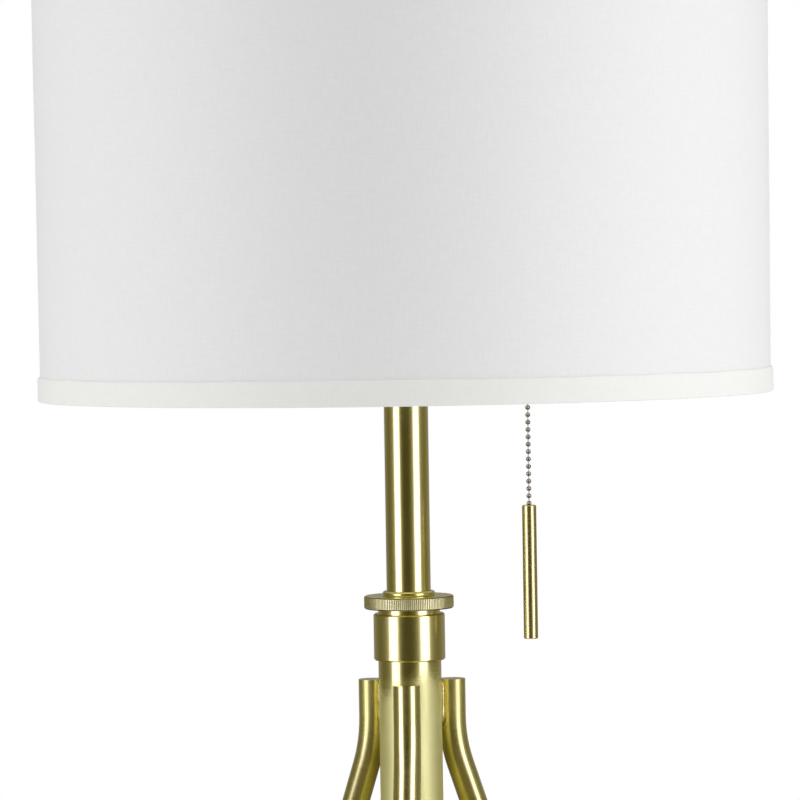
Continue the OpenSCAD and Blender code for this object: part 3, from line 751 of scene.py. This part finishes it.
def background_rays(tree):
    """1 for camera, glossy and transmission rays, else 0."""
    path = tree.nodes.new("ShaderNodeLightPath")
    total = path.outputs["Is Camera Ray"]
    for ray in ("Is Glossy Ray", "Is Transmission Ray"):
        add = tree.nodes.new("ShaderNodeMath")
        add.operation = "ADD"
        add.use_clamp = True
        tree.links.new(total, add.inputs[0])
        tree.links.new(path.outputs[ray], add.inputs[1])
        total = add.outputs["Value"]
    return total


def make_world():
    """White to the camera and in reflections, dimmer as light."""
    world = bpy.data.worlds.new("studio")
    bpy.context.scene.world = world
    world.use_nodes = True
    tree = world.node_tree
    background = tree.nodes["Background"]
    background.inputs["Color"].default_value = (1, 1, 1, 1)
    level = tree.nodes.new("ShaderNodeMapRange")
    level.inputs["To Min"].default_value = AMBIENT
    level.inputs["To Max"].default_value = 1.0
    tree.links.new(background_rays(tree), level.inputs["Value"])
    tree.links.new(level.outputs["Result"], background.inputs["Strength"])


def floor_material():
    """Pale grey near the lamp that fades into the white background."""
    g = Graph("floor")
    g.set(Base_Color=FLOOR_GREY, Roughness=0.8, Specular_IOR_Level=0.1)
    seen_white = g.product(g.rise(g.radius(), *FLOOR_FADE), background_rays(g.tree))
    white = g.node("ShaderNodeEmission")
    both = g.node("ShaderNodeMixShader")
    g.plug(seen_white, both.inputs["Fac"])
    g.plug(g.bsdf.outputs["BSDF"], both.inputs[1])
    g.plug(white.outputs["Emission"], both.inputs[2])
    g.plug(both.outputs["Shader"], g.out.inputs["Surface"])
    return g.mat


def make_floor():
    """A disc under the lamp."""
    points, faces = [(0.0, 0.0, FLOOR_Z)], []
    for i in range(1, FLOOR_STEPS + 1):
        r = FLOOR_R * i / FLOOR_STEPS
        for j in range(FLOOR_SPOKES):
            a = 2 * math.pi * j / FLOOR_SPOKES
            points.append((r * math.cos(a), r * math.sin(a), FLOOR_Z))
    for j in range(FLOOR_SPOKES):
        faces.append((0, 1 + j, 1 + (j + 1) % FLOOR_SPOKES))
    for i in range(FLOOR_STEPS - 1):
        first = 1 + i * FLOOR_SPOKES
        for j in range(FLOOR_SPOKES):
            a, b = first + j, first + (j + 1) % FLOOR_SPOKES
            faces.append((a, a + FLOOR_SPOKES, b + FLOOR_SPOKES, b))
    floor = add_mesh("floor", points, faces, smooth=False)
    floor.data.materials.append(floor_material())


# ---------------------------------------------------------------- studio cards

# Brightness of the studio round the lamp, by degrees to the right of the camera:
# black flags in front, a strip light on each side, grey walls behind them.
WALLS = (
    (-180, 0.30), (-154, 0.30), (-133, 0.22), (-118, 0.17), (-107, 0.155), (-96, 0.18),
    (-87, 0.22), (-78, 0.32), (-70, 0.6), (-64, 3.1), (-43, 3.1), (-36, 0.6),
    (-30, 0.2), (-20, 0.09), (-8, 0.07), (5, 0.07), (13, 0.11), (20, 0.17), (27, 0.3),
    (34, 0.6), (41, 3.1), (62, 3.1), (69, 0.6), (76, 0.34), (87, 0.24), (96, 0.19),
    (107, 0.19), (118, 0.21), (133, 0.28), (154, 0.32), (180, 0.30),
)
WALL_R = 3.0
WALL_LOW, WALL_HIGH = -1.2, 3.4
WALL_STEP = 2                 # degrees from one strip of the wall to the next
DARK_TINT = (1.0, 0.90, 0.30)
STRIP_TINT = (1.0, 1.0, 1.6)
STRIP_LEVEL = 0.6             # from this brightness up, the walls have the strips' full tint
FLAG_GLOW = (0.16, 0.14, 0.09)
FLAG_Z = 0.0005
FLAG_SPOKES = 180
# radius, and the share of the wall's colour that the floor flag has there
FLAG_RINGS = ((0.2, 0.0), (1.1, 0.0), (1.7, 0.25), (2.3, 0.6), (WALL_R, 1.0))


def between(start, end, share):
    """A colour at that share of the way from one to another."""
    return [a + (b - a) * share for a, b in zip(start, end)]


def wall_colour(degrees):
    """Colour of the walls at that angle, from the table above."""
    after = next(i for i in range(1, len(WALLS)) if degrees <= WALLS[i][0])
    (a, level_a), (b, level_b) = WALLS[after - 1], WALLS[after]
    level = level_a + (level_b - level_a) * (degrees - a) / (b - a)
    tint = between(DARK_TINT, STRIP_TINT, min(1.0, level / STRIP_LEVEL))
    return [level * t for t in tint]


def glow_material(name):
    """An emission with the mesh's own glow colours."""
    mat = bpy.data.materials.new(name)
    mat.use_nodes = True
    tree = mat.node_tree
    tree.nodes.clear()
    out = tree.nodes.new("ShaderNodeOutputMaterial")
    glow = tree.nodes.new("ShaderNodeEmission")
    source = tree.nodes.new("ShaderNodeAttribute")
    source.attribute_name = "glow"
    tree.links.new(source.outputs["Color"], glow.inputs["Color"])
    tree.links.new(glow.outputs["Emission"], out.inputs["Surface"])
    mat.cycles.emission_sampling = "NONE"
    return mat


def glow_card(name, points, faces, colours):
    """A studio card that only the shiny parts see."""
    card = add_mesh(name, points, faces, smooth=False)
    data = card.data.attributes.new("glow", "FLOAT_COLOR", "POINT")
    data.data.foreach_set("color", [x for c in colours for x in (*c, 1.0)])
    card.data.materials.append(glow_material(name))
    card.visible_camera = False
    card.visible_diffuse = False
    card.visible_shadow = False
    card.visible_transmission = False


def make_walls():
    """Curved wall of strip lights and dark flags."""
    first, last = WALLS[0][0], WALLS[-1][0]
    points, faces, colours = [], [], []
    for degrees in range(first, last + 1, WALL_STEP):
        for z in (WALL_LOW, WALL_HIGH):
            points.append(at_angle(WALL_R, math.radians(degrees) + TURN, z))
            colours.append(wall_colour(degrees))
    for k in range(0, len(points) - 2, 2):
        faces.append((k, k + 1, k + 3, k + 2))
    glow_card("studio_walls", points, faces, colours)


def make_floor_flag():
    """The floor as the shiny parts see it: grey, with the walls' glow towards its rim."""
    rings = len(FLAG_RINGS)
    points, faces, colours = [], [], []
    for j in range(FLAG_SPOKES):
        degrees = -180 + 360 * j / FLAG_SPOKES
        near_wall = wall_colour(degrees)
        for r, share in FLAG_RINGS:
            points.append(at_angle(r, math.radians(degrees) + TURN, FLAG_Z))
            colours.append(between(FLAG_GLOW, near_wall, share))
    for j in range(FLAG_SPOKES):
        k = (j + 1) % FLAG_SPOKES
        for i in range(rings - 1):
            p, q = j * rings + i, k * rings + i
            faces.append((p, p + 1, q + 1, q))
    glow_card("studio_floor_flag", points, faces, colours)


# ---------------------------------------------------------------- lamps

# Soft boxes for the cloth and the floor, which the shiny parts don't see:
# degrees to the right of the camera, distance, height, size, power in watts
LAMPS = {
    "box_left": (-81, 2.2, 0.9, (1.0, 1.6), 24.9),
    "box_front": (0, 2.2, 0.9, (1.0, 1.6), 14.2),
    "box_right": (74, 2.2, 0.9, (1.0, 1.6), 28.6),
    "box_top": (0, 0.05, 2.6, (0.9, 0.9), 14.0),
}
LAMP_AIM = Vector((0, 0, 0.55))


def make_lamp(name, degrees, distance, height, size, power):
    """A soft box beside or above the lamp."""
    data = bpy.data.lights.new(name, "AREA")
    data.shape = "RECTANGLE"
    data.size, data.size_y = size
    data.energy = power
    lamp = bpy.data.objects.new(name, data)
    bpy.context.scene.collection.objects.link(lamp)
    place = at_angle(distance, math.radians(degrees) + TURN, height)
    aim = (LAMP_AIM - place).to_track_quat("-Z", "Y").to_matrix().to_4x4()
    lamp.matrix_world = Matrix.Translation(place) @ aim
    lamp.visible_glossy = False
    lamp.visible_camera = False


make_world()
make_floor()
make_walls()
make_floor_flag()
for lamp_name, lamp_row in LAMPS.items():
    make_lamp(lamp_name, *lamp_row)

bpy.context.scene.view_settings.view_transform = "Standard"
